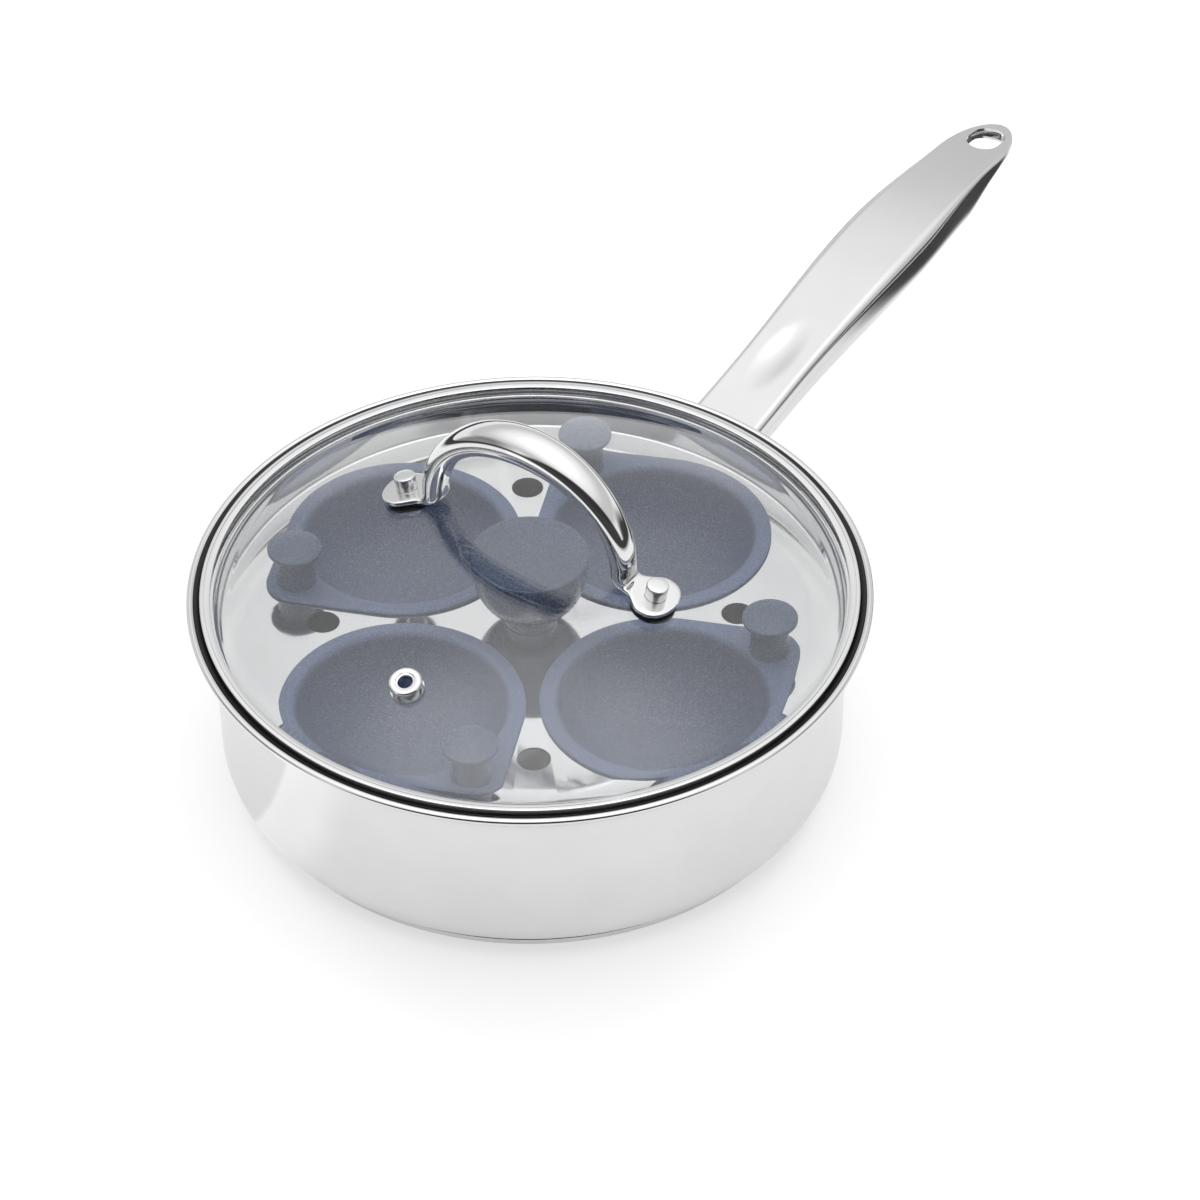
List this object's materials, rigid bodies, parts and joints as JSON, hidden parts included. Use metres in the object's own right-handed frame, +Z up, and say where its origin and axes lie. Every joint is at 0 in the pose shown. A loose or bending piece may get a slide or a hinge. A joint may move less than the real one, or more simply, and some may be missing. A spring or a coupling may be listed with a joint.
{
  "type": "egg poacher pan",
  "caption": "Lidded steel pan with a long handle and a lift-out tray of non-stick egg cups, for poaching eggs over simmering water.",
  "frame": {"origin": "centre of the underside of the base, on the hob", "axes": "+Z up from the hob, +X along the long handle, +Y completes a right-handed set"},
  "size_m": [0.3956, 0.21, 0.1236],
  "materials": {
    "pan_steel": "mirror-polished stainless steel",
    "handle_steel": "satin-brushed stainless steel",
    "spreader": "plain",
    "tray_steel": "mirror-polished stainless steel",
    "lid_steel": "polished stainless steel",
    "fastener_steel": "plain stainless steel",
    "cup_coating": "speckled blue-grey non-stick coating on metal",
    "knob_plastic": "blue-grey heat-proof plastic",
    "seal_rubber": "soft black rubber",
    "lid_glass": "clear tempered glass"
  },
  "bodies": {
    "pan": {"pan_body": "pan_steel", "base_core": "spreader", "base_cap": "pan_steel", "handle_bracket": "handle_steel", "pan_handle_upper": "handle_steel", "pan_handle_lower": "handle_steel"},
    "tray": {"egg_tray": "tray_steel", "tray_knob": "knob_plastic", "tray_knob_screw": "fastener_steel", "tray_knob_washer": "fastener_steel"},
    "cup_1": {"egg_cup_1": "cup_coating", "cup_knob_1": "knob_plastic", "cup_knob_screw_1": "fastener_steel"},
    "cup_2": {"egg_cup_2": "cup_coating", "cup_knob_2": "knob_plastic", "cup_knob_screw_2": "fastener_steel"},
    "cup_3": {"egg_cup_3": "cup_coating", "cup_knob_3": "knob_plastic", "cup_knob_screw_3": "fastener_steel"},
    "cup_4": {"egg_cup_4": "cup_coating", "cup_knob_4": "knob_plastic", "cup_knob_screw_4": "fastener_steel"},
    "lid": {"lid_glass": "lid_glass", "lid_band": "lid_steel", "lid_handle": "lid_steel", "lid_bolts": "fastener_steel", "lid_upper_washers": "seal_rubber", "lid_lower_washers": "seal_rubber", "lid_nuts": "fastener_steel", "steam_vent": "lid_steel", "steam_vent_ring": "fastener_steel"}
  },
  "joints": [
    {"name": "tray_lift", "type": "slide", "parent": "pan", "child": "tray", "axis": [0, 0, 1], "range_m": [0, 0.11]},
    {"name": "cup_1_lift", "type": "slide", "parent": "tray", "child": "cup_1", "axis": [0, 0, 1], "range_m": [0, 0.05]},
    {"name": "cup_2_lift", "type": "slide", "parent": "tray", "child": "cup_2", "axis": [0, 0, 1], "range_m": [0, 0.05]},
    {"name": "cup_3_lift", "type": "slide", "parent": "tray", "child": "cup_3", "axis": [0, 0, 1], "range_m": [0, 0.05]},
    {"name": "cup_4_lift", "type": "slide", "parent": "tray", "child": "cup_4", "axis": [0, 0, 1], "range_m": [0, 0.05]},
    {"name": "lid_lift", "type": "slide", "parent": "cup_1", "child": "lid", "axis": [0, 0, 1], "range_m": [0, 0.15]}
  ],
  "couplings": [
    {"joint": "cup_2_lift", "follows": "cup_1_lift", "ratio": 1},
    {"joint": "cup_3_lift", "follows": "cup_1_lift", "ratio": 1},
    {"joint": "cup_4_lift", "follows": "cup_1_lift", "ratio": 1}
  ]
}
